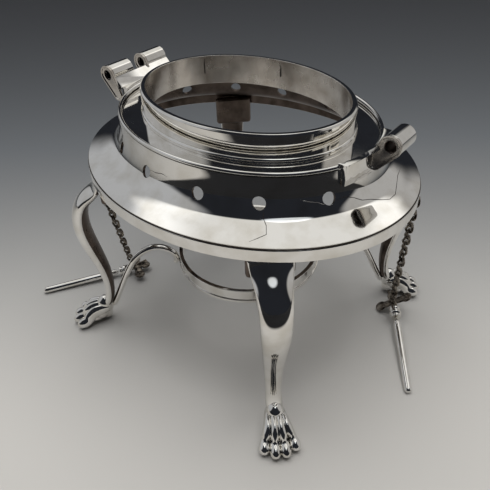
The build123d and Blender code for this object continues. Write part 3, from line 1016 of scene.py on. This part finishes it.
for side in ("left", "right"):
    mesh = bmesh.new()
    for x, y in LOBES:
        swollen(mesh, (x, y, 0.0), DISC)
        swollen(mesh, (x, y, BOSS_LIFT), BOSS)
        swollen(mesh, *bar_to(x, y))
    swollen(mesh, NECK_AT, NECK_SIZE)
    add_link(mesh, Matrix.Translation(Vector((EYE_AT, 0, EYE_LIFT)) * MM), wire=EYE_WIRE_R, straight=0.0)
    bmesh.ops.transform(mesh, matrix=pin_place(side), verts=mesh.verts)
    fused(finish_piece("trefoil_" + side, mesh, "pin_" + side, ["thumb_plate_" + side], oxidised, join=False))

# %% [markdown]
# ## Seams and old cracks
# Dirt sits where the polishing cloth can't reach: along the seam between band and apron, down the
# solder seams inside the collar, and in the hairline cracks that age has opened in the thin apron.
# Each is a fine dark wire, sunk to half its depth in the metal, because a line this thin needs real
# width to show at all.

# %% Polish residue
dirt, tree, shader = new_material("polish_residue")
grime = add(tree, "ValToRGB", {"Fac": noise(tree, coordinates(tree), 4.0, 3.0)})
grime.color_ramp.elements[0].color = linear("14110E")
grime.color_ramp.elements[1].color = linear("3A3128")
tree.links.new(grime.outputs["Color"], shader.inputs["Base Color"])
shader.inputs["Roughness"].default_value = 0.7
print("dirt", dirt.name)

# %% Dirt in the seam
SEAM_AT = (79.42, 64.52, 96.34)
SEAM_R = 0.34
mesh = bmesh.new()
bead(mesh, SEAM_AT, SEAM_R, corners=6, steps=160)
finish_piece("seam_rim", mesh, "stand", [], dirt)

# %% Seams inside the collar
# Two upright solder seams show dark on the inner wall: x, y, top, bottom and half width in mm.
COLLAR_SEAMS = {"left": (-40.48, 19.2, 126.2, 118.6, 0.34), "back": (-6.4, 35.46, 125.4, 119.4, 0.42)}
SEAM_END = 0.8

for name, (x, y, top, bottom, half) in COLLAR_SEAMS.items():
    mesh = bmesh.new()
    heights = ((bottom, 0.4), (bottom + SEAM_END, 1.0), (top - SEAM_END, 0.8), (top, 0.3))
    places = [Matrix.Translation(Vector((x, y, z)) * MM) @ Matrix.Diagonal((half * MM * r,) * 2 + (MM, 1))
              for z, r in heights]
    swept(mesh, places, corners=8)
    finish_piece("seam_collar_" + name, mesh, "stand", [], dirt)

# %% Lines of the cracks
# Each crack is a list of (oval step in degrees, height in mm) on the apron's skin. The one by the middle
# vent has been rubbed bright along its lip, so it takes silver, not dirt.
CRACKS = {
    "front": ((-51.3, 103.6), (-51.8, 101.8), (-50.9, 100.2), (-51.1, 98.9), (-53.6, 98.4), (-56.3, 97.8)),
    "right": ((-22.6, 104.9), (-18.7, 105.1), (-14.5, 103.7), (-11.2, 102.1), (-7.1, 101.3), (-3.1, 100.2),
              (0.3, 99.5), (4.9, 99.4), (9.8, 99.8), (18.2, 100.1), (27.8, 99.4)),
    "left": ((-99.0, 107.5), (-95.5, 107.7), (-92.3, 108.5), (-89.7, 108.2)),
    "middle": ((-28.2, 104.2), (-30.9, 105.3), (-34.8, 106.1), (-37.8, 107.1)),
    "back_left": ((-130.9, 105.4), (-128.5, 104.2), (-124.9, 103.6)),
}
RUBBED_BRIGHT = "middle"
CRACK_R = 0.13
CRACK_END = 0.35
SKIN_LEAN = 1.2
print(len(CRACKS), "cracks")

# %% Cracks
def crack_mesh(points):
    """Thin six-sided wire along the skin, thinner at its ends."""
    mesh = bmesh.new()
    line = [on_apron(step, z) for step, z in points]
    places = []
    for i, spot in enumerate(line):
        along = (line[min(i + 1, len(line) - 1)] - line[max(i - 1, 0)]).normalized()
        out = Vector((spot.x / NECK[0] ** 2, spot.y / NECK[1] ** 2, 0.0)).normalized()
        out.z = SKIN_LEAN
        across = along.cross(out).normalized()
        r = CRACK_R * MM * (CRACK_END if i in (0, len(line) - 1) else 1.0)
        turn = Matrix((across * r, across.cross(along) * r, along)).transposed().to_4x4()
        places.append(Matrix.Translation(spot) @ turn)
    swept(mesh, places, corners=6)
    return mesh


for name, points in CRACKS.items():
    finish_piece("crack_" + name, crack_mesh(points), "stand", [], silver if name == RUBBED_BRIGHT else dirt)

# %% [markdown]
# ## Floor
# A sheet of pale paper with painted shade: its colour runs from pale under the stand to dark grey
# behind it, as the light of a lamp falls off over the table. Polished metal sees the paper too, so for
# reflections alone it gets a painted reflection: the gradient stays paler further back, and the near
# side turns to the dark of a room.

# %% Paper with painted falloff
# Painted shade darkens the paper this way over the table, from and to these distances in metres. The
# colour follows light from a lamp that falls off with the square of the distance, and half of it is gone
# at HALF_AT.
AWAY = (-0.6408, 0.7677, 0.0)
FADE_FROM, FADE_TO = -0.1, 0.8
HALF_AT = 0.165
GREYS = ((0.0, "C6C3BE"), (0.76, "606366"), (0.98, "26272B"))
# For glossy rays alone, a painted reflection: the gradient is stretched by this share, so it stays paler, and
# nearer than these distances the paper is painted the dark of a room.
MIRRORED_STRETCH = 0.45
PAPER_ENDS = (-0.225, -0.195)
PAST_PAPER = "1B1B1D"

floor_mat, tree, shader = new_material("graduated_paper_sweep")
place = add(tree, "TexCoord").outputs["Object"]
away = add(tree, "VectorMath", {0: place}, {1: AWAY}, operation="DOT_PRODUCT").outputs["Value"]
mirrored = add(tree, "LightPath").outputs["Is Glossy Ray"]
nearer = remap(tree, mirrored, 0.0, 1.0, 1.0, MIRRORED_STRETCH)
stretched = add(tree, "Math", {0: away, 1: nearer}, operation="MULTIPLY").outputs["Value"]
reach = remap(tree, stretched, FADE_FROM, FADE_TO, 0.0, (FADE_TO - FADE_FROM) / HALF_AT)
square = add(tree, "Math", {0: reach, 1: reach}, operation="MULTIPLY").outputs["Value"]
more = add(tree, "Math", {0: square}, {1: 1.0}, operation="ADD").outputs["Value"]
gone = add(tree, "Math", {0: square, 1: more}, operation="DIVIDE").outputs["Value"]
fade = add(tree, "ValToRGB", {"Fac": gone})
fade.color_ramp.elements.new(0.5)
for stop, (at, shade) in zip(fade.color_ramp.elements, GREYS):
    stop.position = at
    stop.color = linear(shade)
# Painted reflection: only glossy rays see the near side of the paper turn dark.
front_end = remap(tree, away, *PAPER_ENDS, 1.0, 0.0)
fall = add(tree, "Math", {0: front_end, 1: mirrored}, operation="MULTIPLY").outputs["Value"]
paper = add(tree, "MixRGB", {"Fac": fall, "Color1": fade.outputs["Color"]}, {"Color2": linear(PAST_PAPER)})
tree.links.new(paper.outputs["Color"], shader.inputs["Base Color"])
shader.inputs["Roughness"].default_value = 0.9
print("paper", floor_mat.name, len(tree.nodes), "nodes")

# %% Floor
FLOOR_HALF = 3.0
mesh = bmesh.new()
bmesh.ops.create_grid(mesh, x_segments=1, y_segments=1, size=FLOOR_HALF)
floor_data = bpy.data.meshes.new("floor")
mesh.to_mesh(floor_data)
mesh.free()
floor = bpy.data.objects.new("floor", floor_data)
floor_data.materials.append(floor_mat)
bpy.context.scene.collection.objects.link(floor)
print("floor", 2 * FLOOR_HALF, "m wide")

# %% [markdown]
# ## Studio light
# Polished metal shows the room, so the room is the light: a dim grey world with broad soft boxes
# painted into it as smooth lobes, one over the stand and one at each side. The gap between them, on
# the near side, stays dark but for one small window, and draws the dark shapes of polished silver. A
# large lamp overhead lights the paper, and the metal does not mirror it, because the lobes already
# stand for it there.

# %% World
# Azimuth, elevation, full and faded radius in degrees, colour and strength of each soft box.
SOFT_BOXES = (
    (120, 65, 31, 37, "FFFEFA", 0.76),
    (200, 24, 34, 45, "F1F3F6", 0.46),
    (54, 22, 33, 41, "F8F6F3", 0.41),
    (333, 77, 9, 13, "EEF4FA", 0.9),
)
ROOM = "222429"
BACKDROP = "333539"

world = bpy.data.worlds.new("studio")
bpy.context.scene.world = world
world.use_nodes = True
tree = world.node_tree
background = tree.nodes["Background"]
direction = add(tree, "TexCoord").outputs["Generated"]


def lobe(azimuth, elevation, inner, outer, colour, strength):
    """Soft box in the sky: full inside the inner angle, faded out at the outer one, in degrees."""
    a, e = radians(azimuth), radians(elevation)
    aim = (cos(a) * cos(e), sin(a) * cos(e), sin(e))
    turn = add(tree, "VectorMath", {0: direction}, {1: aim}, operation="DOT_PRODUCT")
    limits = {"From Min": cos(radians(outer)), "From Max": cos(radians(inner))}
    soft = add(tree, "MapRange", {"Value": turn.outputs["Value"]}, limits, interpolation_type="SMOOTHSTEP")
    full = tuple(strength * c for c in linear(colour)[:3])
    glow = add(tree, "VectorMath", {"Scale": soft.outputs["Result"]}, {0: full}, operation="SCALE")
    return glow.outputs["Vector"]


base = add(tree, "VectorMath", {0: lobe(*SOFT_BOXES[0])}, {1: linear(ROOM)[:3]}, operation="ADD")
total = base.outputs["Vector"]
for box in SOFT_BOXES[1:]:
    total = add(tree, "VectorMath", {0: total, 1: lobe(*box)}, operation="ADD").outputs["Vector"]
seen = add(tree, "LightPath").outputs["Is Camera Ray"]
plain = add(tree, "MixRGB", {"Fac": seen, "Color1": total}, {"Color2": linear(BACKDROP)})
tree.links.new(plain.outputs["Color"], background.inputs["Color"])
print(len(SOFT_BOXES), "soft boxes")

# %% Overhead lamp
LAMP_WATT = 9.2
LAMP_SIZE = 1.1
LAMP_AT = (-0.10, 0.12, 1.0)
lamp_data = bpy.data.lights.new("overhead", "AREA")
lamp_data.shape = "DISK"
lamp_data.size = LAMP_SIZE
lamp_data.energy = LAMP_WATT
lamp = bpy.data.objects.new("overhead", lamp_data)
lamp.location = LAMP_AT
lamp.visible_glossy = False
bpy.context.scene.collection.objects.link(lamp)
print("lamp", lamp_data.energy, "W")

bpy.context.scene.view_settings.view_transform = "Standard"
